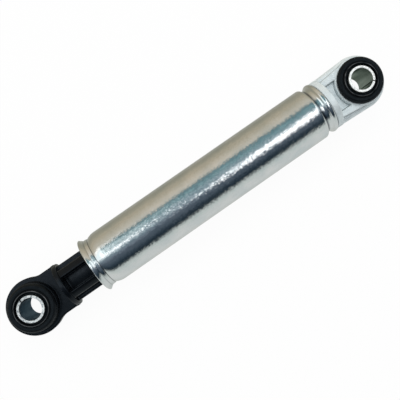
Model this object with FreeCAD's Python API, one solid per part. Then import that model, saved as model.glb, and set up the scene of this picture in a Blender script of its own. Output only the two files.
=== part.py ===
import FreeCAD, Part
import math
import os

# Friction damper of a washing machine, lying on its side as it comes out of the machine.
# Millimetres. X runs along the damper from the fixed eye to the rod eye, Z along the eye bores.
# The origin is the centre of the fixed eye.

# Split steel sleeves in both eyes
bore_radius = 6.5
sleeve_wall = 1.45
sleeve_length = 26.0
sleeve_slit = 0.7
fixed_slit_angle = 137.0
rod_slit_angle = -74.0

# Rubber bushes in both eyes
rubber_wall = 4.2
bead_overlap = 1.9
bead_height = 3.3

# Eye rings
boss_wall = 2.8
rod_boss_wall = 2.2
boss_height = 16.4

# Die-cast fixed eye, as wide as the tube
fixed_plate_thickness = 11.0
base_drop = 0.7
base_thickness = 4.2
base_side_drop = 1.0
pocket_half_width = 8.9
wall_half_width_base = 12.2
wall_half_width_eye = 14.6
spigot_length = 16.0

# Steel cylinder tube, crimped on the casting and flared at the mouth
tube_start = 25.2
tube_length = 167.0
tube_radius = 16.7
tube_wall = 1.5
crest_drop = 0.3
crest_length = 2.8
crimp_depth = 2.3
crimp_middle = 4.8
crimp_shoulder = 8.6
neck_depth = 1.65
neck_middle = 4.1
neck_shoulder = 8.7
flare_rise = 2.35
shoulder_break = 1.3

# Guide bush behind the tube's neck, in two half shells
guide_length = 14.0
guide_parting_angle = 0.5

# Plunger: rod eye, collar, ribbed shaft and piston in one moulding
rod_show = 19.0
rod_plate_thickness = 6.0
rod_rim_excess = 0.5
collar_setback = 23.3
collar_overlap = 0.4
collar_thickness = 2.8
neck_blend = 12.0
shaft_neck_gap = 1.3
channel_half_width = 4.9
side_ledge = 3.0
web_thickness = 5.2
rod_length = 129.0
piston_length = 26.0
piston_land = 3.5

# Friction lining, a strip wrapped round the piston
lining_thickness = 3.2
lining_slit = 1.0

# Clearances
seat_clearance = 0.03
turn_clearance = 0.05
slide_clearance = 0.05
shaft_clearance = 0.15
piston_clearance = 0.35
lining_end_play = 0.15

# Sizes that follow from the ones above
sleeve_radius = bore_radius + sleeve_wall
eye_bore_radius = sleeve_radius + turn_clearance + rubber_wall
boss_radius = eye_bore_radius + boss_wall
rod_boss_radius = eye_bore_radius + rod_boss_wall
tube_end = tube_start + tube_length
tube_inner_radius = tube_radius - tube_wall
base_radius = tube_radius - base_drop
base_x = tube_start - base_thickness
neck_inner_radius = tube_inner_radius - neck_depth
shaft_radius = neck_inner_radius - shaft_neck_gap
collar_radius = neck_inner_radius + collar_overlap
rod_rim_radius = tube_radius + rod_rim_excess
lining_seat_radius = tube_inner_radius - slide_clearance - lining_thickness
collar_x = tube_end + rod_show
rod_eye_x = collar_x + collar_setback
piston_x = collar_x - rod_length

along_x = FreeCAD.Vector(1, 0, 0)
along_z = FreeCAD.Vector(0, 0, 1)


def meridian(x, radius):
    """Point of a profile that is turned about the damper's axis."""
    return FreeCAD.Vector(x, 0, radius)


def turned(points):
    """Solid of revolution about the damper's axis from a closed profile."""
    wire = Part.makePolygon(points + points[:1])
    return Part.Face(wire).revolve(FreeCAD.Vector(0, 0, 0), along_x, 360)


def rod_cylinder(x_from, x_to, radius):
    """Cylinder on the damper's axis between two stations."""
    return Part.makeCylinder(radius, x_to - x_from, FreeCAD.Vector(x_from, 0, 0), along_x)


def upright_cylinder(x, height, radius):
    """Cylinder along an eye's bore, centred on the damper's axis."""
    return Part.makeCylinder(radius, height, FreeCAD.Vector(x, 0, -height / 2), along_z)


def centred_box(x_from, x_to, width, height):
    """Box between two stations, centred on the damper's axis."""
    corner = FreeCAD.Vector(x_from, -width / 2, -height / 2)
    return Part.makeBox(x_to - x_from, width, height, corner)


def upright_plate(edges, thickness):
    """Plate of a closed outline in the plane of the axis, as thick below the axis as above."""
    face = Part.Face(Part.Wire(edges))
    face.translate(FreeCAD.Vector(0, 0, -thickness / 2))
    return face.extrude(FreeCAD.Vector(0, 0, thickness))


def tube_corners():
    """Corners of the tube's outer profile from the crimped end to the flared mouth."""
    crest_radius = tube_radius - crest_drop
    neck_radius = tube_radius - neck_depth
    return [
        (tube_start, crest_radius),
        (tube_start + crest_length, crest_radius),
        (tube_start + crimp_middle, tube_radius - crimp_depth),
        (tube_start + crimp_shoulder, tube_radius),
        (tube_end - neck_shoulder, tube_radius),
        (tube_end - neck_middle, neck_radius),
        (tube_end, neck_radius + flare_rise),
    ]


def inset(corners, depth):
    """Corners of the profile that runs a constant depth inside another one."""
    lines = []
    for (x0, r0), (x1, r1) in zip(corners, corners[1:]):
        length = math.hypot(x1 - x0, r1 - r0)
        step = ((x1 - x0) / length, (r1 - r0) / length)
        start = (x0 + step[1] * depth, r0 - step[0] * depth)
        end = (x1 + step[1] * depth, r1 - step[0] * depth)
        lines.append((start, step, end))
    moved = [lines[0][0]]
    for (start, step, _), (other, turn, _) in zip(lines, lines[1:]):
        cross = step[0] * turn[1] - step[1] * turn[0]
        gap = (other[0] - start[0], other[1] - start[1])
        reach = (gap[0] * turn[1] - gap[1] * turn[0]) / cross
        moved.append((start[0] + step[0] * reach, start[1] + step[1] * reach))
    moved.append(lines[-1][2])
    return moved


def broken_corner(before, corner, after):
    """Two points that take off a corner of a profile at the same length on both sides."""
    back = (before - corner).normalize()
    ahead = (after - corner).normalize()
    return [corner + back * shoulder_break, corner + ahead * shoulder_break]


def cylinder_tube():
    """Drawn tube of one wall: a crimped bead, a plain length, a rolled neck and a flared mouth."""
    outer = [meridian(*corner) for corner in tube_corners()]
    inner = [meridian(*corner) for corner in inset(tube_corners(), tube_wall)]
    crimp_end = broken_corner(outer[2], outer[3], outer[4])
    neck_start = broken_corner(outer[3], outer[4], outer[5])
    return turned(outer[:3] + crimp_end + neck_start + outer[5:] + inner[::-1])


def split_sleeve(x, slit_angle):
    """Rolled sleeve with the butt joint of its sheet left open as a narrow slit."""
    ring = upright_cylinder(x, sleeve_length, sleeve_radius)
    ring = ring.cut(upright_cylinder(x, sleeve_length, bore_radius))
    slit = centred_box(x, x + 2 * sleeve_radius, sleeve_slit, sleeve_length)
    slit.rotate(FreeCAD.Vector(x, 0, 0), along_z, slit_angle)
    return ring.cut(slit)


def rubber_bush(x):
    """Spool-shaped bush: a waist in the eye's bore and a bead that laps over each face."""
    bead_top = boss_height / 2 + bead_height
    waist = upright_cylinder(x, 2 * bead_top, eye_bore_radius - seat_clearance)
    beads = upright_cylinder(x, 2 * bead_top, eye_bore_radius + bead_overlap)
    beads = beads.cut(upright_cylinder(x, boss_height, eye_bore_radius + bead_overlap))
    bush = beads.fuse(waist).cut(upright_cylinder(x, 2 * bead_top, sleeve_radius + turn_clearance))
    return bush.removeSplitter()


def spigot():
    """Plug in the tube's end: a neck that the crimp is rolled on, and a head behind the crimp."""
    corners = inset(tube_corners(), tube_wall + seat_clearance)
    neck_radius = corners[2][1]
    head_start, head_radius = corners[3]
    neck = rod_cylinder(tube_start, head_start, neck_radius)
    return neck.fuse(rod_cylinder(head_start, tube_start + spigot_length, head_radius))


def fixed_plate_outline():
    """Outline of the casting's plate: round about the eye, then sides running to the base."""
    corner = FreeCAD.Vector(base_x + base_thickness / 2, tube_radius - base_side_drop, 0)
    distance = math.hypot(corner.x, corner.y)
    turn = math.atan2(corner.y, corner.x) + math.acos(tube_radius / distance)
    touch = FreeCAD.Vector(math.cos(turn), math.sin(turn), 0) * tube_radius
    mirrored = FreeCAD.Vector(touch.x, -touch.y, 0)
    mirrored_corner = FreeCAD.Vector(corner.x, -corner.y, 0)
    tip = FreeCAD.Vector(-tube_radius, 0, 0)
    return [
        Part.makeLine(corner, touch),
        Part.Arc(touch, tip, mirrored).toShape(),
        Part.makeLine(mirrored, mirrored_corner),
        Part.makeLine(mirrored_corner, corner),
    ]


def side_wall(side):
    """Raised wall beside the casting's pocket, spreading from the base to the eye ring."""
    wall_end = base_x + base_thickness / 2
    points = [
        FreeCAD.Vector(wall_end, side * pocket_half_width, 0),
        FreeCAD.Vector(wall_end, side * wall_half_width_base, 0),
        FreeCAD.Vector(0, side * wall_half_width_eye, 0),
        FreeCAD.Vector(0, side * pocket_half_width, 0),
    ]
    edges = Part.makePolygon(points + points[:1]).Edges
    return upright_plate(edges, boss_height)


def end_eye():
    """Die-cast fixed eye: ring, plate, pocket walls, round base and crimped spigot."""
    casting = upright_plate(fixed_plate_outline(), fixed_plate_thickness)
    casting = casting.fuse(upright_cylinder(0, boss_height, boss_radius))
    casting = casting.fuse([side_wall(1), side_wall(-1)])
    casting = casting.fuse(rod_cylinder(base_x, tube_start, base_radius))
    casting = casting.fuse(spigot())
    casting = casting.cut(upright_cylinder(0, boss_height, eye_bore_radius))
    return casting.removeSplitter()


def guide_half(side):
    """Half shell of the shaft's plain bearing, pressed in the tube as far as its neck."""
    guide_end, guide_radius = inset(tube_corners(), tube_wall + seat_clearance)[4]
    guide_start = guide_end - guide_length
    guide_bore = shaft_radius + shaft_clearance
    corners = [
        FreeCAD.Vector(guide_start, guide_bore, 0),
        FreeCAD.Vector(guide_start, guide_radius, 0),
        FreeCAD.Vector(guide_end, guide_radius, 0),
        FreeCAD.Vector(guide_end, guide_bore, 0),
    ]
    section = Part.Face(Part.makePolygon(corners + corners[:1]))
    section.rotate(FreeCAD.Vector(0, 0, 0), along_x, side * guide_parting_angle)
    return section.revolve(FreeCAD.Vector(0, 0, 0), along_x, side * (180 - 2 * guide_parting_angle))


def rod_plate_outline():
    """Outline of the rod eye's plate: round about the eye, with a concave blend to the neck."""
    blend_offset = math.sqrt((rod_rim_radius + neck_blend) ** 2 - (collar_radius + neck_blend) ** 2)
    eye = FreeCAD.Vector(rod_eye_x, 0, 0)
    edges = []
    ends = []
    for side in (1, -1):
        centre = FreeCAD.Vector(rod_eye_x - blend_offset, side * (collar_radius + neck_blend), 0)
        towards_eye = (eye - centre).normalize()
        on_neck = FreeCAD.Vector(centre.x, side * collar_radius, 0)
        on_rim = centre + towards_eye * neck_blend
        halfway = (on_neck + on_rim) / 2
        middle = centre + (halfway - centre).normalize() * neck_blend
        at_collar = FreeCAD.Vector(collar_x + collar_thickness / 2, side * collar_radius, 0)
        edges.append(Part.makeLine(at_collar, on_neck))
        edges.append(Part.Arc(on_neck, middle, on_rim).toShape())
        ends.append((at_collar, on_rim))
    tip = FreeCAD.Vector(rod_eye_x + rod_rim_radius, 0, 0)
    edges.append(Part.Arc(ends[0][1], tip, ends[1][1]).toShape())
    edges.append(Part.makeLine(ends[0][0], ends[1][0]))
    return Part.__sortEdges__(edges)


def ribbed_shaft(x_from, x_to):
    """Shaft drawn along Z: a web with two ribs on each face, trimmed to a round envelope."""
    height = 2 * shaft_radius
    ribs = centred_box(x_from, x_to, height - 2 * side_ledge, height)
    ribs = ribs.cut(centred_box(x_from, x_to, 2 * channel_half_width, height))
    web = centred_box(x_from, x_to, height, web_thickness)
    return ribs.fuse(web).common(rod_cylinder(x_from, x_to, shaft_radius))


def plunger():
    """One moulding: rod eye, neck plate, stop collar, ribbed shaft and grooved piston."""
    piston_end = piston_x + piston_length
    piston_radius = tube_inner_radius - piston_clearance
    body = upright_plate(rod_plate_outline(), rod_plate_thickness)
    body = body.fuse(upright_cylinder(rod_eye_x, boss_height, rod_boss_radius))
    body = body.fuse(rod_cylinder(collar_x, collar_x + collar_thickness, collar_radius))
    body = body.fuse(ribbed_shaft(piston_end, collar_x))
    body = body.fuse(rod_cylinder(piston_x, piston_end, lining_seat_radius))
    body = body.fuse(rod_cylinder(piston_x, piston_x + piston_land, piston_radius))
    body = body.fuse(rod_cylinder(piston_end - piston_land, piston_end, piston_radius))
    body = body.cut(upright_cylinder(rod_eye_x, boss_height, eye_bore_radius))
    return body.removeSplitter()


def friction_lining():
    """Strip wrapped round the piston between its lands, its two ends a slit apart."""
    start = piston_x + piston_land + lining_end_play
    end = piston_x + piston_length - piston_land - lining_end_play
    ring = rod_cylinder(start, end, tube_inner_radius - slide_clearance)
    ring = ring.cut(rod_cylinder(start, end, lining_seat_radius + turn_clearance))
    corner = FreeCAD.Vector(start, -lining_slit / 2, 0)
    slit = Part.makeBox(end - start, lining_slit, tube_radius, corner)
    return ring.cut(slit)


pieces = {
    "cylinder_tube": cylinder_tube(),
    "end_eye": end_eye(),
    "end_eye_bush": rubber_bush(0),
    "end_eye_sleeve": split_sleeve(0, fixed_slit_angle),
    "guide_upper_half": guide_half(1),
    "guide_lower_half": guide_half(-1),
    "plunger": plunger(),
    "friction_lining": friction_lining(),
    "rod_eye_bush": rubber_bush(rod_eye_x),
    "rod_eye_sleeve": split_sleeve(rod_eye_x, rod_slit_angle),
}

os.makedirs("parts", exist_ok=True)
for name, shape in pieces.items():
    shape.exportStep(os.path.join("parts", name + ".step"))
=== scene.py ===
import math

import bpy
import numpy as np
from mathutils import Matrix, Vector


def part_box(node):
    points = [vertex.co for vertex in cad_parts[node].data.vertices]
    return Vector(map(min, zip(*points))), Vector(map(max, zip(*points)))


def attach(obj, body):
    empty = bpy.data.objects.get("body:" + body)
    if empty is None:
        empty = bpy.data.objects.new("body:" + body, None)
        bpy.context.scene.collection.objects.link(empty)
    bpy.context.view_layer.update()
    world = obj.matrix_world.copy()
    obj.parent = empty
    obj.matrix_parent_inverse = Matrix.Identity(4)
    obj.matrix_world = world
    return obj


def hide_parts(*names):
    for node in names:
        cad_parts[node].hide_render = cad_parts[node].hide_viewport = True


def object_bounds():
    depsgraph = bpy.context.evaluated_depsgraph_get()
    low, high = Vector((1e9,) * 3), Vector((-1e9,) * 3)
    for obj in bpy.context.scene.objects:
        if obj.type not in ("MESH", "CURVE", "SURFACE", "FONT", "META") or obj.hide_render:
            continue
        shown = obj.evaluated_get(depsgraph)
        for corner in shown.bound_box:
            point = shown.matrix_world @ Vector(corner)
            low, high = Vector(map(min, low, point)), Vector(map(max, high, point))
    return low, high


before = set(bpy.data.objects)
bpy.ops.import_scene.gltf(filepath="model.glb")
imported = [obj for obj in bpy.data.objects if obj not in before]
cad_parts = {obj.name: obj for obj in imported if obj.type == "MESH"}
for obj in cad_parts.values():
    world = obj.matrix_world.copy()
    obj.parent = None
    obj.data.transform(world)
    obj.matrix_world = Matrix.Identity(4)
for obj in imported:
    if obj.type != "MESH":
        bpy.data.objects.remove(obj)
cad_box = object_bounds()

# End eye. A light alloy die casting: a ring for the rubber, a flat plate with two pocket walls, and a round
# base with a stepped spigot behind it. It is cast in one piece and blasted, and the tube is crimped over
# the spigot.

mm = 0.001


def rounded_slab(outline, height, half_height, edge):
    """Signed distance to a slab. outline is the signed distance to its outline in plan, and height is
    measured from its middle. Both rims are rounded by a quarter circle of radius edge."""
    side = outline + edge
    top = np.abs(height) - half_height + edge
    return np.hypot(np.maximum(side, 0), np.maximum(top, 0)) + np.minimum(np.maximum(side, top), 0) - edge


def slab_between(outline, along, start, end, edge):
    """Signed distance to a slab that runs from start to end along its axis, rounded in the same way."""
    return rounded_slab(outline, along - (start + end) / 2, (end - start) / 2, edge)


def filleted(first, second, radius):
    """Two solids joined, with a hollow quarter circle of that radius where their faces meet squarely."""
    near_first = np.maximum(radius - first, 0)
    near_second = np.maximum(radius - second, 0)
    return np.maximum(radius, np.minimum(first, second)) - np.hypot(near_first, near_second)


def trimmed(solid, hole, edge):
    """A solid with a hole cut from it, the rim of the cut broken by a quarter circle of radius edge."""
    return -filleted(-solid, hole, edge)


def planes(low, high, cell):
    """Grid planes a cell apart, from a margin below low to a margin above high."""
    margin = 1.1 * mm
    return np.arange(low - margin, high + margin, cell)


def grid_slice(axis_slices):
    """Index of a block of a three-way array, from one slice for each axis by its number."""
    return tuple(axis_slices[axis] for axis in range(3))


def skin(solid, x, y, z):
    """Closed skin of quads round a solid given by its signed distance, on the grid of planes x, y, z.
    Each cell that the surface crosses gets one point, the mean of the places where its edges are cut, and
    each cut edge joins the points of the four cells around it. Newton steps then set the points on the
    surface: a point goes back along the slope by its distance over the square of the slope."""
    lines = (x, y, z)
    places = np.meshgrid(x, y, z, indexing="ij")
    value = solid(*places)
    cells = tuple(len(line) - 1 for line in lines)
    total = np.zeros(cells + (3,))
    count = np.zeros(cells)
    cut_edges = []
    for axis in range(3):
        near = np.take(value, range(cells[axis]), axis)
        far = np.take(value, range(1, cells[axis] + 1), axis)
        cut = (near < 0) != (far < 0)
        share = np.where(cut, near / np.where(cut, near - far, 1), 0)
        crossing = [np.take(place, range(cells[axis]), axis) for place in places]
        spacing = np.diff(lines[axis]).reshape([-1 if number == axis else 1 for number in range(3)])
        crossing[axis] = crossing[axis] + share * spacing
        second, third = (axis + 1) % 3, (axis + 2) % 3
        for back_second in (0, 1):
            for back_third in (0, 1):
                edges = grid_slice({
                    axis: slice(None),
                    second: slice(back_second, cells[second] + back_second),
                    third: slice(back_third, cells[third] + back_third),
                })
                count += cut[edges]
                for number in range(3):
                    total[..., number] += np.where(cut[edges], crossing[number][edges], 0)
        cut_edges.append((axis, second, third, cut, near < 0))

    used = count > 0
    points = total[used] / count[used][:, None]
    number_of = np.full(cells, -1)
    number_of[used] = np.arange(len(points))
    quads = []
    for axis, second, third, cut, solid_below in cut_edges:
        found = np.array(np.nonzero(cut))
        corners = []
        for back_second, back_third in ((1, 1), (0, 1), (0, 0), (1, 0)):
            cell = found.copy()
            cell[second] -= back_second
            cell[third] -= back_third
            corners.append(number_of[tuple(cell)])
        ring = np.stack(corners, axis=1)
        upward = solid_below[tuple(found)]
        quads.append(np.where(upward[:, None], ring, ring[:, ::-1]))

    newton_steps = 4
    reach = 0.002 * mm
    least_steepness = 0.2
    longest_move = 0.2 * mm
    for step in range(newton_steps):
        slope = np.stack([
            (solid(*(points + reach * axis).T) - solid(*(points - reach * axis).T)) / (2 * reach)
            for axis in np.eye(3)
        ], axis=1)
        steepness = np.maximum((slope ** 2).sum(axis=1), least_steepness)
        move = np.clip(solid(*points.T) / steepness, -longest_move, longest_move)
        points = points - slope * move[:, None]
    return points, np.vstack(quads)


def edge_turn(solid, points, reach):
    """How sharply a solid turns at each point of its skin: the rise of its signed distance over the six
    places at reach along the axes. It is 0 on a flat face, 1 on a sharp outer edge and -1 in a sharp inner
    corner."""
    rise = sum(solid(*(points + reach * axis).T) + solid(*(points - reach * axis).T) for axis in np.eye(3))
    return np.clip(rise / (2 * reach), -1, 1)


def smooth_piece(name, points, quads, finish, edges):
    """A smooth-shaded object at the origin from an array of points and an array of four-cornered faces. The
    value edges of each point goes into the attribute edge, which the finish reads."""
    mesh = bpy.data.meshes.new(name)
    mesh.vertices.add(len(points))
    mesh.vertices.foreach_set("co", np.ascontiguousarray(points, dtype=np.float32).ravel())
    mesh.loops.add(quads.size)
    mesh.loops.foreach_set("vertex_index", np.ascontiguousarray(quads, dtype=np.int32).ravel())
    mesh.polygons.add(len(quads))
    mesh.polygons.foreach_set("loop_start", np.arange(0, quads.size, 4, dtype=np.int32))
    mesh.polygons.foreach_set("use_smooth", np.ones(len(quads), dtype=bool))
    mesh.update(calc_edges=True)
    mesh.attributes.new("edge", "FLOAT", "POINT").data.foreach_set("value", edges.astype(np.float32))
    mesh.materials.append(finish)
    piece = bpy.data.objects.new(name, mesh)
    bpy.context.scene.collection.objects.link(piece)
    return piece


def new_finish(name):
    """A new material with its node tree, its shader and the piece's own coordinates in metres."""
    finish = bpy.data.materials.new(name)
    finish.use_nodes = True
    tree = finish.node_tree
    shader = tree.nodes["Principled BSDF"]
    place = tree.nodes.new("ShaderNodeTexCoord").outputs["Object"]
    return finish, tree, shader, place


def blotches(tree, place, size, detail):
    """Noise from 0 to 1 whose blotches are about size across."""
    noise = tree.nodes.new("ShaderNodeTexNoise")
    noise.inputs["Scale"].default_value = 1 / size
    noise.inputs["Detail"].default_value = detail
    tree.links.new(place, noise.inputs["Vector"])
    return noise.outputs["Fac"]


def spread(tree, value, low, high, out_low, out_high):
    """A value's range low to high stretched to out_low to out_high, held at the ends."""
    ramp = tree.nodes.new("ShaderNodeMapRange")
    ramp.inputs["From Min"].default_value = low
    ramp.inputs["From Max"].default_value = high
    ramp.inputs["To Min"].default_value = out_low
    ramp.inputs["To Max"].default_value = out_high
    tree.links.new(value, ramp.inputs["Value"])
    return ramp.outputs["Result"]


def varied(tree, place, size, detail, least, most, low=0.3, high=0.7):
    """Value that goes from least to most over blotches about size across, as their noise goes from low to
    high."""
    return spread(tree, blotches(tree, place, size, detail), low, high, least, most)


def tinted(tree, value, stops):
    """Colour read from a value by a ramp of stops, each a position and a linear colour. A new ramp has two
    stops already, and the rest are added."""
    ramp = tree.nodes.new("ShaderNodeValToRGB")
    for number, (position, colour) in enumerate(stops):
        if number < 2:
            stop = ramp.color_ramp.elements[number]
            stop.position = position
        else:
            stop = ramp.color_ramp.elements.new(position)
        stop.color = (*colour, 1)
    tree.links.new(value, ramp.inputs["Fac"])
    return ramp.outputs["Color"]


def mottled(tree, place, size, detail, dark, light, low=0.3, high=0.7):
    """Colour that goes from dark to light over blotches about size across, as their noise goes from low to
    high."""
    return tinted(tree, blotches(tree, place, size, detail), [(low, dark), (high, light)])


def edge_value(tree):
    """The attribute edge of the piece that carries the finish."""
    reader = tree.nodes.new("ShaderNodeAttribute")
    reader.attribute_name = "edge"
    return reader.outputs["Fac"]


def blended(tree, share, first, second):
    """First colour where share is 0, second colour where it is 1."""
    mix = tree.nodes.new("ShaderNodeMix")
    mix.data_type = "RGBA"
    tree.links.new(share, mix.inputs["Factor"])
    tree.links.new(first, mix.inputs["A"])
    tree.links.new(second, mix.inputs["B"])
    return mix.outputs["Result"]


def relief(tree, height, depth, below=None):
    """Surface normal of a relief that is depth high where height is 1, laid over one below if given."""
    bump = tree.nodes.new("ShaderNodeBump")
    bump.inputs["Strength"].default_value = 1
    bump.inputs["Distance"].default_value = depth
    tree.links.new(height, bump.inputs["Height"])
    if below is not None:
        tree.links.new(below, bump.inputs["Normal"])
    return bump.outputs["Normal"]


def dress(tree, shader, colour, roughness, normal):
    """Gives a shader its colour, its roughness and the normal of its relief."""
    tree.links.new(colour, shader.inputs["Base Color"])
    tree.links.new(roughness, shader.inputs["Roughness"])
    tree.links.new(normal, shader.inputs["Normal"])


cast_low, cast_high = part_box("end_eye")
ring_radius = 15.0 * mm
ring_half_height = 8.2 * mm
ring_edge = 0.4 * mm
ring_bore = 12.2 * mm
bore_edge = 0.4 * mm
plate_radius = -cast_low.x
plate_half = 5.5 * mm
plate_edge = 2.8 * mm
plate_end = 23.1 * mm
plate_corner = 15.7 * mm
wall_inner = 8.9 * mm
wall_outer_at_eye = 14.6 * mm
wall_outer_at_base = 12.2 * mm
wall_edge = 0.5 * mm
pocket_fillet = 0.4 * mm
base_radius = cast_high.z
base_start = 21.0 * mm
base_end = 25.2 * mm
base_edge = 0.6 * mm
base_fillet = 0.6 * mm
spigot_neck_radius = 12.5 * mm
spigot_neck_edge = 0.2 * mm
spigot_overlap = 1.0 * mm
spigot_head_radius = 15.17 * mm
spigot_head_start = 33.9 * mm
spigot_head_edge = 0.5 * mm
spigot_end = cast_high.x


def cast_eye(x, y, z):
    """Signed distance to the casting: ring, plate, walls, base and spigot joined with fillets, then bored.
    The plate's outline is a circle round the bore and its tangents to the two corners at the base."""
    side = np.abs(y)
    from_bore = np.hypot(x, y)
    from_axis = np.hypot(y, z)
    corner_angle = math.atan2(plate_corner, plate_end)
    touch = corner_angle + math.acos(plate_radius / math.hypot(plate_corner, plate_end))
    past_touch = x * math.sin(touch) - side * math.cos(touch) > 0
    tangent = x * math.cos(touch) + side * math.sin(touch)
    outline = np.maximum(np.where(past_touch, tangent, from_bore) - plate_radius, x - plate_end)
    plate = rounded_slab(outline, z, plate_half, plate_edge)
    ring = rounded_slab(from_bore - ring_radius, z, ring_half_height, ring_edge)
    lean = (wall_outer_at_eye - wall_outer_at_base) / plate_end
    wall_face = (side - wall_outer_at_eye + lean * x) / math.hypot(1, lean)
    wall_outline = np.maximum(np.maximum(wall_face, wall_inner - side), np.maximum(-x, x - plate_end))
    walls = rounded_slab(wall_outline, z, ring_half_height, wall_edge)
    base = slab_between(from_axis - base_radius, x, base_start, base_end, base_edge)
    neck = slab_between(from_axis - spigot_neck_radius, x, base_end - spigot_overlap,
                        spigot_head_start + spigot_overlap, spigot_neck_edge)
    head = slab_between(from_axis - spigot_head_radius, x, spigot_head_start, spigot_end, spigot_head_edge)
    solid = filleted(filleted(plate, ring, pocket_fillet), walls, pocket_fillet)
    solid = filleted(solid, base, base_fillet)
    solid = np.minimum(np.minimum(solid, neck), head)
    return trimmed(solid, from_bore - ring_bore, bore_edge)


cast_cell = 0.42 * mm
cast_points, cast_quads = skin(
    cast_eye,
    planes(cast_low.x, cast_high.x, cast_cell),
    planes(cast_low.y, cast_high.y, cast_cell),
    planes(cast_low.z, cast_high.z, cast_cell),
)
# The edge value is below zero in the inner corners, where the finish paints shade.
cast_edges = edge_turn(cast_eye, cast_points, reach=0.35 * mm)

blasted_alloy, tree, shader, place = new_finish("blasted_alloy")
stain = mottled(tree, place, size=6 * mm, detail=3, dark=(0.65, 0.715, 0.735), light=(0.78, 0.84, 0.855))
# Painted shade: the inner corners and the feet of the walls are blended towards this dark tint by the edge
# value.
corner_shade_tint = mottled(tree, place, size=2 * mm, detail=2, dark=(0.13, 0.155, 0.17), light=(0.30, 0.335, 0.345))
crease_shade = spread(tree, edge_value(tree), low=-0.1, high=-0.5, out_low=0, out_high=1)
dullness = varied(tree, place, size=1.5 * mm, detail=3, least=0.42, most=0.6)
pits = relief(tree, blotches(tree, place, size=0.35 * mm, detail=2), depth=0.012 * mm)
swells = relief(tree, blotches(tree, place, size=3 * mm, detail=1), depth=0.05 * mm, below=pits)
dress(tree, shader, blended(tree, crease_shade, stain, corner_shade_tint), dullness, swells)
shader.inputs["Metallic"].default_value = 0.35

casting = smooth_piece("cast_end_eye", cast_points, cast_quads, blasted_alloy, cast_edges)
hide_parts("end_eye")
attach(casting, "housing")

# Cylinder tube. A length of drawn steel tube, zinc plated and passivated. It is rolled into a groove over
# the casting's spigot at one end, and necked in front of the guide and flared at its open mouth.


def rounded_line(corners, radii, steps):
    """An open line through corners, with each inner corner turned into an arc of its own radius that
    touches both of its runs. The arc is the spoke from its centre, turned from one touching point to the
    other."""
    parts = [corners[:1]]
    for before, corner, after, radius in zip(corners[:-2], corners[1:-1], corners[2:], radii):
        back = (before - corner) / np.linalg.norm(before - corner)
        ahead = (after - corner) / np.linalg.norm(after - corner)
        half = 0.5 * math.acos(np.clip(back @ ahead, -1, 1))
        centre = corner + (back + ahead) / np.linalg.norm(back + ahead) * radius / math.sin(half)
        spoke = corner + back * radius / math.tan(half) - centre
        bend = math.copysign(math.pi - 2 * half, back[1] * ahead[0] - back[0] * ahead[1])
        turn = np.linspace(0, bend, steps)[:, None]
        parts.append(centre + np.cos(turn) * spoke + np.sin(turn) * np.array([-spoke[1], spoke[0]]))
    parts.append(corners[-1:])
    return np.vstack(parts)


def stepped_line(line, step):
    """The same line with more points on its long runs, none further apart than step."""
    length = np.concatenate([[0], np.cumsum(np.linalg.norm(np.diff(line, axis=0), axis=1))])
    stops = np.unique(np.concatenate([length, np.arange(0, length[-1], step)]).round(9))
    return np.stack([np.interp(stops, length, line[:, 0]), np.interp(stops, length, line[:, 1])], axis=1)


def rolled_rim(first, last, bulge):
    """Half an ellipse from the first point to the last, without them: the middle plus cosine t times half
    the way back plus sine t times the bulge, which stands to the left of the way."""
    stations = 9
    back = (first - last) / 2
    left = np.array([back[1], -back[0]]) / np.linalg.norm(back)
    turn = np.linspace(0, math.pi, stations)[1:-1, None]
    return (first + last) / 2 + np.cos(turn) * back + np.sin(turn) * bulge * left


def carried_round(section, turns, centre, along, zero, quarter):
    """A section carried round an axis: for turn t and section point (a, r), the place is centre plus a
    along the axis plus r times zero cos t and quarter sin t. The first index is the turn."""
    a, r = section.T
    spoke = np.cos(turns)[:, None, None] * np.array(zero) + np.sin(turns)[:, None, None] * np.array(quarter)
    return np.array(centre) + a[:, None] * np.array(along) + r[:, None] * spoke


def ring_quads(turns, stations):
    """Faces of a grid that closes on itself both ways."""
    turn, station = np.meshgrid(np.arange(turns), np.arange(stations), indexing="ij")
    next_turn, next_station = (turn + 1) % turns, (station + 1) % stations
    corners = [turn * stations + station, next_turn * stations + station,
               next_turn * stations + next_station, turn * stations + next_station]
    return np.stack([corner.ravel() for corner in corners], axis=1)


def stretched(tree, place, scale):
    """The place scaled along each axis, which draws a pattern out along an axis whose scale is under 1."""
    mapping = tree.nodes.new("ShaderNodeMapping")
    mapping.inputs["Scale"].default_value = scale
    tree.links.new(place, mapping.inputs["Vector"])
    return mapping.outputs["Vector"]


def cell_pattern(tree, place, size):
    """Cells about size across: the outputs hold a colour for each cell and the distance from its middle."""
    pattern = tree.nodes.new("ShaderNodeTexVoronoi")
    pattern.inputs["Scale"].default_value = 1 / size
    tree.links.new(place, pattern.inputs["Vector"])
    return pattern.outputs


def coordinate(tree, place, axis):
    """One coordinate of a place, by the letter of its axis."""
    apart = tree.nodes.new("ShaderNodeSeparateXYZ")
    tree.links.new(place, apart.inputs["Vector"])
    return apart.outputs[axis]


def worked(tree, operation, first, second=None):
    """A value worked out from one or two others by the named operation."""
    step = tree.nodes.new("ShaderNodeMath")
    step.operation = operation
    tree.links.new(first, step.inputs[0])
    if second is not None:
        tree.links.new(second, step.inputs[1])
    return step.outputs["Value"]


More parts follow.
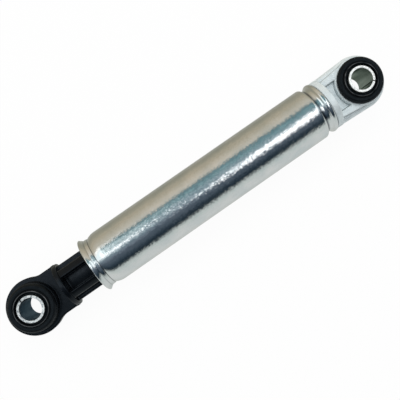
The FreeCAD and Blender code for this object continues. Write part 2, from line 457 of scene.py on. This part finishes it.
def crystal_normal(tree, cell_colour, lean, share, below):
    """Surface normal of crystals that each lean their own way. A cell's colour, less a half and times twice
    the lean, is scaled by the share and added to the normal below, and the sum is brought to length 1."""
    tilt = tree.nodes.new("ShaderNodeVectorMath")
    tilt.operation = "MULTIPLY_ADD"
    tilt.inputs[1].default_value = (2 * lean, 2 * lean, 2 * lean)
    tilt.inputs[2].default_value = (-lean, -lean, -lean)
    tree.links.new(cell_colour, tilt.inputs[0])
    faded = tree.nodes.new("ShaderNodeVectorMath")
    faded.operation = "SCALE"
    tree.links.new(tilt.outputs["Vector"], faded.inputs["Vector"])
    tree.links.new(share, faded.inputs["Scale"])
    tilted = tree.nodes.new("ShaderNodeVectorMath")
    tilted.operation = "ADD"
    tree.links.new(below, tilted.inputs[0])
    tree.links.new(faded.outputs["Vector"], tilted.inputs[1])
    facing = tree.nodes.new("ShaderNodeVectorMath")
    facing.operation = "NORMALIZE"
    tree.links.new(tilted.outputs["Vector"], facing.inputs[0])
    return facing.outputs["Vector"]


# Corners of the tube's wall, as distance along the axis and radius, with the radii of the bends between the
# first and the last. The crimp's distances start at the casting's end of the tube and the mouth's at the
# other end.
tube_low, tube_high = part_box("cylinder_tube")
crimp_corners = np.array([
    (0.1, 15.6), (0.5, 16.5), (2.4, 16.5), (3.7, 14.75), (6.4, 14.6), (7.6, 16.7),
]) * mm
crimp_radii = np.array([1.3, 1.3, 2.0, 0.15, 2.0]) * mm
mouth_corners = np.array([
    (-8.0, 16.7), (-5.2, 15.1), (-4.85, 15.55), (-3.2, 15.62), (-2.9, 15.5), (-0.5, 17.3),
]) * mm
mouth_radii = np.array([11.0, 0.12, 0.3, 0.2, 0.15]) * mm
inner_crimp_corners = np.array([
    (0.35, 14.3), (1.2, 15.0), (1.9, 15.0), (3.4, 13.1), (6.9, 13.1), (8.2, 15.2),
]) * mm
inner_crimp_radii = np.array([0.3, 0.3, 0.5, 0.5, 0.6]) * mm
inner_mouth_corners = np.array([
    (-8.6, 15.2), (-5.4, 13.65), (-4.6, 14.1), (-2.5, 14.15), (0.35, 16.06),
]) * mm
inner_mouth_radii = np.array([9.0, 0.5, 0.5, 0.8]) * mm
outer_corners = np.vstack([crimp_corners + (tube_low.x, 0), mouth_corners + (tube_high.x, 0)])
outer_radii = np.concatenate([crimp_radii, mouth_radii])
inner_corners = np.vstack([inner_crimp_corners + (tube_low.x, 0), inner_mouth_corners + (tube_high.x, 0)])
inner_radii = np.concatenate([inner_crimp_radii, inner_mouth_radii])
outside = stepped_line(rounded_line(outer_corners, outer_radii, steps=12), step=3 * mm)
inside = stepped_line(rounded_line(inner_corners, inner_radii, steps=8), step=6 * mm)[::-1]
mouth_rim = rolled_rim(outside[-1], inside[0], bulge=0.35 * mm)
crimp_rim = rolled_rim(inside[-1], outside[0], bulge=0.15 * mm)
tube_section = np.vstack([outside, mouth_rim, inside, crimp_rim])
tube_sides = 192
tube_turns = np.linspace(0, 2 * math.pi, tube_sides, endpoint=False)
tube_points = carried_round(tube_section, tube_turns, (0, 0, 0), (1, 0, 0), (0, 1, 0), (0, 0, 1))
tube_quads = ring_quads(tube_sides, len(tube_section))

# Shade is painted dark into four creases: the crimp's start, the groove's far corner, the neck and the foot
# of the flare.
creases = outer_corners[[0, 4, 7, 10]]
crease_darkness = np.array([1.0, 1.0, 0.8, 0.35])
crease_width = 0.32 * mm
from_crease = np.linalg.norm(tube_section[:, None] - creases, axis=2)
darkness = (np.clip(1 - from_crease / crease_width, 0, 1) * crease_darkness).max(axis=1)
tube_edges = np.tile(-darkness, tube_sides)

zinc_plate, tree, shader, place = new_finish("passivated_zinc_plate")
cloud = mottled(tree, place, size=12 * mm, detail=3, dark=(0.63, 0.66, 0.66), light=(0.76, 0.75, 0.735))
# Painted shade: the four creases are blended towards this dark tint.
crease_shade_tint = mottled(tree, place, size=3 * mm, detail=2, dark=(0.08, 0.09, 0.10), light=(0.26, 0.28, 0.29))
crease_shade = spread(tree, edge_value(tree), low=0, high=-0.7, out_low=0, out_high=1)
gloss = varied(tree, place, size=2.5 * mm, detail=4, least=0.09, most=0.16)
drawn = stretched(tree, place, (0.06, 1, 1))
draw_lines = relief(tree, blotches(tree, drawn, size=1.1 * mm, detail=2), depth=0.012 * mm)
patchy = varied(tree, place, size=22 * mm, detail=1, least=0.7, most=0.95, low=0.42, high=0.58)
grain = worked(tree, "MULTIPLY", blotches(tree, place, size=0.6 * mm, detail=2), patchy)
grained = relief(tree, grain, depth=0.055 * mm, below=draw_lines)

# The plating's crystals are pressed flat where the tube was rolled, at both ends, and are flatter towards
# the mouth.
crimp_length = 8 * mm
neck_length = 8 * mm
rolled_fade = 4 * mm
flatter_from = tube_high.x - 55 * mm
flatter_to = tube_high.x - 15 * mm
along_tube = coordinate(tree, place, "X")
crimp_end = tube_low.x + crimp_length
past_crimp = spread(tree, along_tube, crimp_end, crimp_end + rolled_fade, out_low=0.2, out_high=1)
neck_start = tube_high.x - neck_length
before_neck = spread(tree, along_tube, neck_start - rolled_fade, neck_start, out_low=1, out_high=0.2)
unrolled = worked(tree, "MINIMUM", past_crimp, before_neck)
flatter = spread(tree, along_tube, flatter_from, flatter_to, out_low=1, out_high=0.55)
crystals = cell_pattern(tree, place, size=0.75 * mm)["Color"]
standing = worked(tree, "MULTIPLY", unrolled, flatter)
sparkle = crystal_normal(tree, crystals, lean=0.045, share=standing, below=grained)
dress(tree, shader, blended(tree, crease_shade, cloud, crease_shade_tint), gloss, sparkle)
shader.inputs["Metallic"].default_value = 1

tube = smooth_piece("rolled_tube", tube_points.reshape(-1, 3), tube_quads, zinc_plate, tube_edges)
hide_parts("cylinder_tube")
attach(tube, "housing")

# Shaft guide. Two moulded plastic half rings in the tube's mouth that carry the shaft. They are laid round
# the shaft and pressed in behind the tube's neck.

guide_plastic, tree, shader, place = new_finish("guide_plastic")
wear = mottled(tree, place, size=5 * mm, detail=3, dark=(0.022, 0.022, 0.024), light=(0.045, 0.045, 0.047),
               high=0.75)
satin = varied(tree, place, size=1.2 * mm, detail=2, least=0.38, most=0.55)
fine = relief(tree, blotches(tree, place, size=0.5 * mm, detail=2), depth=0.01 * mm)
dress(tree, shader, wear, satin, fine)
for half_ring in ("guide_upper_half", "guide_lower_half"):
    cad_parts[half_ring].data.materials[0] = guide_plastic

# Friction lining. A strip of greased foam wrapped round the piston's groove. Its rubbing on the tube's wall
# is what damps the machine.

lining_foam, tree, shader, place = new_finish("greased_foam")
pores = cell_pattern(tree, place, size=0.8 * mm)["Distance"]
foam = tinted(tree, pores, [(0.1, (0.10, 0.085, 0.05)), (0.6, (0.34, 0.29, 0.19))])
grease = varied(tree, place, size=4 * mm, detail=2, least=0.3, most=0.8, low=0.35, high=0.65)
dress(tree, shader, foam, grease, relief(tree, pores, depth=0.15 * mm))
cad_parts["friction_lining"].data.materials[0] = lining_foam

# Plunger. One black moulding of filled plastic: the rod eye, the hollow-sided neck, the stop collar, the
# ribbed shaft and the piston with its groove. The collar stops it on the tube's mouth.

plunger_low, plunger_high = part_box("plunger")
rod_rim_radius = 17.2 * mm
rod_eye_x = plunger_high.x - rod_rim_radius
rod_plate_half = 3.0 * mm
rod_plate_edge = 0.7 * mm
rod_ring_radius = 14.4 * mm
rod_ring_edge = 0.5 * mm
rod_ring_fillet = 0.5 * mm
neck_half_width = 13.95 * mm
neck_blend = 12.0 * mm
neck_fillet = 1.0 * mm
collar_radius = 13.95 * mm
collar_start = 211.2 * mm
collar_end = 214.0 * mm
collar_edge = 0.5 * mm
rod_plate_start = collar_end - 0.9 * mm
shaft_radius = 12.25 * mm
shaft_overlap = 1.0 * mm
shaft_fillet = 0.6 * mm
channel_half = 4.9 * mm
channel_fillet = 0.6 * mm
rib_outer = 9.25 * mm
rib_edge = 0.6 * mm
web_half = 2.6 * mm
web_crown_radius = 27.0 * mm
piston_start = plunger_low.x
piston_end = 108.2 * mm
piston_radius = 14.85 * mm
piston_land = 3.5 * mm
piston_land_edge = 0.4 * mm
piston_seat_radius = 11.95 * mm
piston_seat_inset = 1.0 * mm
piston_seat_edge = 0.2 * mm


def black_plunger(x, y, z):
    """Signed distance to the moulding. The plate's outline is the rim's circle, the neck's straight side
    and between them a hollow arc that touches both. The shaft is a web and two ribs inside a round
    envelope, and the web is crowned between the ribs, lower by half the square of y over its crown
    radius."""
    side = np.abs(y)
    from_bore = np.hypot(x - rod_eye_x, y)
    from_axis = np.hypot(y, z)
    blend_y = neck_half_width + neck_blend
    blend_x = rod_eye_x - math.sqrt((rod_rim_radius + neck_blend) ** 2 - blend_y ** 2)
    over_x, over_y = x - blend_x, side - blend_y
    in_blend = (rod_eye_x - blend_x) * over_y + blend_y * over_x < 0
    hollow = np.where(in_blend, neck_blend - np.hypot(over_x, over_y), from_bore - rod_rim_radius)
    outline = np.where(over_x < 0, side - neck_half_width, hollow)
    outline = np.maximum(outline, rod_plate_start - x)
    plate = rounded_slab(outline, z, rod_plate_half, rod_plate_edge)
    ring = rounded_slab(from_bore - rod_ring_radius, z, ring_half_height, rod_ring_edge)
    collar = slab_between(from_axis - collar_radius, x, collar_start, collar_end, collar_edge)
    ribs = np.maximum(channel_half - side, side - rib_outer)
    crown_drop = np.where(side < (channel_half + rib_outer) / 2, side ** 2 / (2 * web_crown_radius), 0)
    section = filleted(np.abs(z) - web_half + crown_drop, ribs, channel_fillet)
    shaft = trimmed(section, shaft_radius - from_axis, rib_edge)
    shaft_ends = np.maximum(piston_end - shaft_overlap - x, x - collar_start - shaft_overlap)
    shaft = np.maximum(shaft, shaft_ends)
    seat = slab_between(from_axis - piston_seat_radius, x, piston_start + piston_seat_inset,
                        piston_end - piston_seat_inset, piston_seat_edge)
    inner_land = slab_between(from_axis - piston_radius, x, piston_start, piston_start + piston_land,
                              piston_land_edge)
    outer_land = slab_between(from_axis - piston_radius, x, piston_end - piston_land, piston_end,
                              piston_land_edge)
    eye = trimmed(filleted(plate, ring, rod_ring_fillet), from_bore - ring_bore, bore_edge)
    rod = filleted(filleted(shaft, collar, shaft_fillet), outer_land, shaft_fillet)
    rod = np.minimum(np.minimum(rod, seat), inner_land)
    return filleted(eye, rod, neck_fillet)


# The plain shaft takes longer grid cells than the piston and the eye.
piston_cell = 0.5 * mm
piston_planes_start = plunger_low.x - 1 * mm
piston_planes_end = piston_end + 2 * mm
shaft_cell = 1.5 * mm
shaft_planes_start = piston_end + 2.5 * mm
shaft_planes_end = collar_start - 3 * mm
eye_cell = 0.4 * mm
eye_planes_start = collar_start - 2.5 * mm
eye_planes_end = plunger_high.x + 1.2 * mm
lengthwise = np.concatenate([
    np.arange(piston_planes_start, piston_planes_end, piston_cell),
    np.arange(shaft_planes_start, shaft_planes_end, shaft_cell),
    np.arange(eye_planes_start, eye_planes_end, eye_cell),
])
plunger_points, plunger_quads = skin(
    black_plunger,
    lengthwise,
    planes(plunger_low.y, plunger_high.y, eye_cell),
    planes(plunger_low.z, plunger_high.z, eye_cell),
)
# The edge value is above zero on outer edges, where the finish paints highlight lines.
plunger_edges = edge_turn(black_plunger, plunger_points, reach=0.4 * mm)

moulded_black, tree, shader, place = new_finish("moulded_black_plastic")
flow = mottled(tree, place, size=7 * mm, detail=3, dark=(0.002, 0.0025, 0.0035),
               light=(0.004, 0.005, 0.0065), high=0.75)
# Painted highlight: the outer edges of the ribs, collar and rims are blended towards this lighter tint.
edge_highlight_tint = mottled(tree, place, size=3 * mm, detail=3, dark=(0.003, 0.004, 0.0055),
                 light=(0.008, 0.010, 0.013))
edge_highlight_share = spread(tree, edge_value(tree), low=0.12, high=0.45, out_low=0, out_high=1)
polish = varied(tree, place, size=1.6 * mm, detail=3, least=0.17, most=0.3)
fine = relief(tree, blotches(tree, place, size=0.45 * mm, detail=2), depth=0.01 * mm)
sinks = relief(tree, blotches(tree, place, size=5 * mm, detail=1), depth=0.06 * mm, below=fine)
dress(tree, shader, blended(tree, edge_highlight_share, flow, edge_highlight_tint), polish, sinks)
shader.inputs["Specular IOR Level"].default_value = 0.2
shader.inputs["Specular Tint"].default_value = (0.76, 0.87, 1, 1)

plunger = smooth_piece("moulded_plunger", plunger_points, plunger_quads, moulded_black, plunger_edges)
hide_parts("plunger")
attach(plunger, "plunger")

# Rubber bushes. Each eye holds one black rubber spool, moulded in one piece and pressed through the ring,
# with a rounded bead on both faces, a thin groove inside the bead and a lip that stands round the sleeve.


def both_halves(upper_half):
    """A closed section from its upper half: that half, then its mirror image without the shared ends."""
    lower_half = upper_half[::-1] * np.array([-1, 1])
    return np.vstack([upper_half, lower_half[1:-1]])


def round_bore(section, turns, eye_x):
    """A section carried round the upright axis of the eye at eye_x. The first index is the turn."""
    return carried_round(section, turns, (eye_x, 0, 0), (0, 0, 1), (1, 0, 0), (0, 1, 0))


# Corners of the upper half of the section, as height and radius: up the bore, over the lip, the groove and
# the bead, and back along the ring.
bush_corners = np.array([
    (0.0, 8.0), (10.4, 8.0), (10.4, 9.2), (12.35, 9.45), (12.35, 10.15), (11.05, 10.45), (11.5, 11.3),
    (11.6, 13.0), (10.2, 14.1), (8.25, 14.1), (8.25, 12.17), (0.0, 12.17),
]) * mm
bush_radii = np.array([0.25, 0.35, 0.25, 0.25, 0.2, 0.5, 1.2, 1.3, 0.5, 0.2]) * mm
bush_half = stepped_line(rounded_line(bush_corners, bush_radii, steps=9), step=0.8 * mm)
bush_section = both_halves(bush_half)[::-1]
bush_sides = 128
bush_turns = np.linspace(0, 2 * math.pi, bush_sides, endpoint=False)
bush_quads = ring_quads(bush_sides, len(bush_section))
# The top of the lip, on both faces, is painted lighter: a painted highlight round the lip.
lip_height = 12.3 * mm
lip_radius = 10.15 * mm
lip_width = 0.35 * mm
from_lip = np.hypot(np.abs(bush_section[:, 0]) - lip_height, bush_section[:, 1] - lip_radius)
bush_edges = np.tile(np.clip(1 - from_lip / lip_width, 0, 1), bush_sides)

black_rubber, tree, shader, place = new_finish("moulded_black_rubber")
bloom = mottled(tree, place, size=4 * mm, detail=4, dark=(0.002, 0.002, 0.0025),
                light=(0.005, 0.005, 0.006), low=0.35, high=0.8)
# Painted highlight along the lip, broken into lighter and darker stretches by the blotches.
edge_highlight_tint = mottled(tree, place, size=6 * mm, detail=2, dark=(0.01, 0.01, 0.011),
                 light=(0.17, 0.175, 0.18), low=0.38, high=0.62)
matt = varied(tree, place, size=1.2 * mm, detail=3, least=0.42, most=0.6)
fine = relief(tree, blotches(tree, place, size=0.4 * mm, detail=2), depth=0.012 * mm)
dress(tree, shader, blended(tree, edge_value(tree), bloom, edge_highlight_tint), matt, fine)
shader.inputs["Specular IOR Level"].default_value = 0.21
shader.inputs["Specular Tint"].default_value = (0.70, 0.88, 1, 1)

for node, body, eye_x in (("end_eye_bush", "housing", 0.0), ("rod_eye_bush", "plunger", rod_eye_x)):
    bush_points = round_bore(bush_section, bush_turns, eye_x)
    bush = smooth_piece(node + "_rubber", bush_points.reshape(-1, 3), bush_quads, black_rubber, bush_edges)
    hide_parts(node)
    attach(bush, body)

# Steel sleeves. Each is rolled from strip, so a narrow slit runs down one side, then plated and pressed
# into the rubber. The cut rims are bright and a little rough.

sleeve_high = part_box("end_eye_sleeve")[1]
sleeve_radius = sleeve_high.x
sleeve_bore = 6.5 * mm
sleeve_half = sleeve_high.z
sleeve_stations = 121
slit_half = 0.35 * mm
rim_radii = np.array([0.3, 0.3]) * mm
rim_start = sleeve_half - 0.4 * mm
rim_full = sleeve_half - 0.25 * mm
burr_depth = 0.6 * mm
burr_height = 0.05 * mm
sleeve_corners = np.array([
    (0.0, sleeve_radius), (sleeve_half, sleeve_radius), (sleeve_half, sleeve_bore), (0.0, sleeve_bore),
])
sleeve_section = both_halves(stepped_line(rounded_line(sleeve_corners, rim_radii, steps=6), step=1.2 * mm))
# The burr grows from nothing at its depth below the rim.
burr_share = np.clip((np.abs(sleeve_section[:, 0]) - sleeve_half + burr_depth) / burr_depth, 0, 1)


def sleeve_steel(name, dark, light, glancing, rim_dark, rim_light):
    """Plated strip, streaked along the sleeve between a dark and a light tint, with its own tint at a
    glancing look, and with sheared rims that are mottled between two tints of their own."""
    finish, tree, shader, place = new_finish(name)
    height = worked(tree, "ABSOLUTE", coordinate(tree, place, "Z"))
    on_rim = spread(tree, height, rim_start, rim_full, out_low=0, out_high=1)
    streaks = stretched(tree, place, (1, 1, 0.1))
    rolled = mottled(tree, streaks, size=6 * mm, detail=2, dark=dark, light=light, low=0.38, high=0.66)
    sheared = mottled(tree, place, size=0.9 * mm, detail=2, dark=rim_dark, light=rim_light,
                      low=0.34, high=0.54)
    satin = varied(tree, place, size=1.5 * mm, detail=3, least=0.28, most=0.45)
    fine = relief(tree, blotches(tree, place, size=0.5 * mm, detail=2), depth=0.02 * mm)
    dress(tree, shader, blended(tree, on_rim, rolled, sheared), satin, fine)
    metal_share = spread(tree, on_rim, low=0, high=1, out_low=0.85, out_high=0.25)
    tree.links.new(metal_share, shader.inputs["Metallic"])
    shader.inputs["Specular Tint"].default_value = (*glancing, 1)
    return finish


olive_steel = sleeve_steel(
    "olive_sleeve_steel", dark=(0.12, 0.15, 0.128), light=(0.42, 0.475, 0.44), glancing=(0.58, 0.66, 0.6),
    rim_dark=(0.60, 0.62, 0.62), rim_light=(0.96, 0.97, 0.96),
)
# The rod sleeve is the same steel as the end sleeve, in a darker, bluer copy with a duller rim: painted
# shade.
shaded_sleeve_steel = sleeve_steel(
    "shaded_blue_sleeve_steel", dark=(0.042, 0.060, 0.076), light=(0.15, 0.19, 0.225), glancing=(0.27, 0.34, 0.39),
    rim_dark=(0.22, 0.25, 0.27), rim_light=(0.70, 0.735, 0.74),
)

for node, body, eye_x, slit_angle, cut_steel in (
    ("end_eye_sleeve", "end_sleeve", 0.0, 137, olive_steel),
    ("rod_eye_sleeve", "rod_sleeve", rod_eye_x, -74, shaded_sleeve_steel),
):
    gap = slit_half / sleeve_radius
    turns = math.radians(slit_angle) + np.linspace(gap, 2 * math.pi - gap, sleeve_stations)
    sleeve_points = round_bore(sleeve_section, turns, eye_x)
    # The burr on both rims is the sum of three waves round the sleeve.
    burr = burr_height * (np.sin(5 * turns + 1) + 0.7 * np.sin(11 * turns) + 0.5 * np.sin(23 * turns))
    sleeve_points[..., 2] += burr[:, None] * burr_share * np.sign(sleeve_section[:, 0])
    corners = len(sleeve_section)
    sleeve_quads = ring_quads(sleeve_stations, corners)[:-corners]
    first_end = list(range(corners))
    last_end = list(range((sleeve_stations - 1) * corners, sleeve_stations * corners))[::-1]
    sleeve_faces = sleeve_quads.tolist() + [first_end, last_end]
    sleeve_mesh = bpy.data.meshes.new(node + "_rolled")
    sleeve_mesh.from_pydata(sleeve_points.reshape(-1, 3).tolist(), [], sleeve_faces)
    sleeve_mesh.polygons.foreach_set("use_smooth", np.arange(len(sleeve_faces)) < len(sleeve_quads))
    sleeve_mesh.materials.append(cut_steel)
    sleeve = bpy.data.objects.new(node + "_rolled", sleeve_mesh)
    bpy.context.scene.collection.objects.link(sleeve)
    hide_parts(node)
    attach(sleeve, body)

# Floor, light and camera. A pale floor under the object, in a studio with a warm wall on one side and a
# pale one on the other. Five soft panels show in the metal and a sixth lamp only lights, and the camera
# stands at the photograph's viewing point.


def plain_white(tree):
    """White as a colour that can be blended."""
    white = tree.nodes.new("ShaderNodeRGB").outputs["Color"]
    white.default_value = (1, 1, 1, 1)
    return white


floor_reach = 6.0
floor_height = cad_box[0][2]
floor_mesh = bpy.data.meshes.new("floor")
floor_mesh.from_pydata([
    (-floor_reach, -floor_reach, floor_height), (floor_reach, -floor_reach, floor_height),
    (floor_reach, floor_reach, floor_height), (-floor_reach, floor_reach, floor_height),
], [], [(0, 1, 2, 3)])

# The camera sees the floor white, and a reflection shows it tinted by the walls. For both it stays a
# twentieth paper, which keeps the object's shadow, and for all other light it is paper alone.
pale_floor, tree, shader, place = new_finish("pale_floor")
tree.nodes.remove(shader)
paper = tree.nodes.new("ShaderNodeBsdfDiffuse")
paper.inputs["Color"].default_value = (0.85, 0.85, 0.85, 1)
across = spread(tree, coordinate(tree, place, "Y"), low=-0.30, high=0.05, out_low=0, out_high=1)
wall_tints = tinted(tree, across, [
    (0, (0.50, 0.45, 0.34)), (0.51, (0.40, 0.375, 0.28)),
    (0.72, (0.33, 0.32, 0.25)), (1, (0.72, 0.76, 0.76)),
])
rays = tree.nodes.new("ShaderNodeLightPath").outputs
reflected = worked(tree, "MAXIMUM", rays["Is Glossy Ray"], rays["Is Transmission Ray"])
looked_at = worked(tree, "MAXIMUM", rays["Is Camera Ray"], reflected)
glow_share = spread(tree, looked_at, low=0, high=1, out_low=0, out_high=0.95)
glow = tree.nodes.new("ShaderNodeEmission")
tree.links.new(blended(tree, rays["Is Camera Ray"], wall_tints, plain_white(tree)), glow.inputs["Color"])
floor_mix = tree.nodes.new("ShaderNodeMixShader")
tree.links.new(glow_share, floor_mix.inputs["Fac"])
tree.links.new(paper.outputs["BSDF"], floor_mix.inputs[1])
tree.links.new(glow.outputs["Emission"], floor_mix.inputs[2])
tree.links.new(floor_mix.outputs["Shader"], tree.nodes["Material Output"].inputs["Surface"])
floor_mesh.materials.append(pale_floor)
floor = bpy.data.objects.new("floor", floor_mesh)
bpy.context.scene.collection.objects.link(floor)

# What the metal mirrors of the studio, by the angle round the object's axis in degrees, 0 straight up and
# 90 towards +Y: the warm wall, light slats overhead, a dark gap and the pale wall.
studio_stops = (
    (-120, (0.40, 0.36, 0.27)), (-90, (0.50, 0.45, 0.34)), (-60, (0.68, 0.63, 0.53)),
    (-47, (0.70, 0.67, 0.60)), (-39, (0.10, 0.18, 0.20)), (-36, (0.26, 0.42, 0.46)),
    (-31, (0.07, 0.15, 0.18)), (-25, (0.36, 0.58, 0.63)), (-19, (0.08, 0.15, 0.18)),
    (-12, (0.48, 0.65, 0.72)), (-6, (0.10, 0.15, 0.19)), (1, (0.46, 0.59, 0.67)),
    (8, (0.12, 0.17, 0.21)), (13, (0.25, 0.31, 0.38)), (19, (0.10, 0.13, 0.17)),
    (33, (0.085, 0.115, 0.15)), (41, (0.045, 0.068, 0.095)), (50, (0.022, 0.037, 0.053)),
    (60, (0.015, 0.029, 0.040)), (73, (0.62, 0.68, 0.67)), (90, (0.70, 0.76, 0.75)),
    (140, (0.66, 0.73, 0.73)),
)
studio = bpy.data.worlds.new("studio")
bpy.context.scene.world = studio
studio.use_nodes = True
studio.cycles.sampling_method = "NONE"
tree = studio.node_tree
direction = tree.nodes.new("ShaderNodeTexCoord").outputs["Generated"]
sideways = coordinate(tree, direction, "Y")
round_axis = worked(tree, "ARCTAN2", sideways, coordinate(tree, direction, "Z"))
turn_share = spread(tree, round_axis, low=-math.pi, high=math.pi, out_low=0, out_high=1)
studio_seen = tinted(tree, turn_share, [((angle + 180) / 360, colour) for angle, colour in studio_stops])
across = spread(tree, sideways, low=-1, high=1, out_low=0, out_high=1)
soft_light = tinted(tree, across, [(0, (0.82, 0.81, 0.78)), (1, (0.36, 0.37, 0.38))])
rays = tree.nodes.new("ShaderNodeLightPath").outputs
reflected = worked(tree, "MAXIMUM", rays["Is Glossy Ray"], rays["Is Transmission Ray"])
lit = blended(tree, reflected, soft_light, studio_seen)
shown = blended(tree, rays["Is Camera Ray"], lit, plain_white(tree))
tree.links.new(shown, tree.nodes["Background"].inputs["Color"])

# A lamp's power is its radiance times its area times pi.
for name, middle, size, turn, radiance, shows_in_metal in (
    ("left_lamp", (-0.43, -0.01, 1.0), (0.90, 0.34), 32, 1.6, True),
    ("right_lamp", (0.56, -0.29, 1.0), (0.68, 0.62), 0, 0.37, True),
    ("right_strip", (0.33, -0.127, 0.98), (0.21, 0.10), 0, 1.5, True),
    ("far_panel", (1.70, -0.60, 0.99), (2.60, 1.10), 0, 1.0, True),
    ("near_panel", (-2.15, -0.25, 1.0), (1.90, 0.90), 0, 1.2, True),
    ("key_lamp", (-0.30, -0.65, 1.0), (0.50, 0.50), 0, 5.0, False),
):
    lamp = bpy.data.lights.new(name, "AREA")
    lamp.shape = "RECTANGLE"
    lamp.size, lamp.size_y = size
    lamp.energy = radiance * math.pi * size[0] * size[1]
    lamp_object = bpy.data.objects.new(name, lamp)
    lamp_object.location = middle
    lamp_object.rotation_euler = (0, 0, math.radians(turn))
    lamp_object.visible_camera = False
    lamp_object.visible_glossy = shows_in_metal
    bpy.context.scene.collection.objects.link(lamp_object)

camera_data = bpy.data.cameras.new("camera")
camera_data.lens = 49.55
camera_data.sensor_width = 36
camera_data.clip_start = 0.01
camera = bpy.data.objects.new("camera", camera_data)
camera.location = (0.13582, 0.00600, 0.33149)
camera.rotation_euler = (math.radians(1.945), math.radians(-2.184), math.radians(-214.886))
bpy.context.scene.collection.objects.link(camera)
bpy.context.scene.camera = camera
bpy.context.scene.view_settings.view_transform = "Standard"
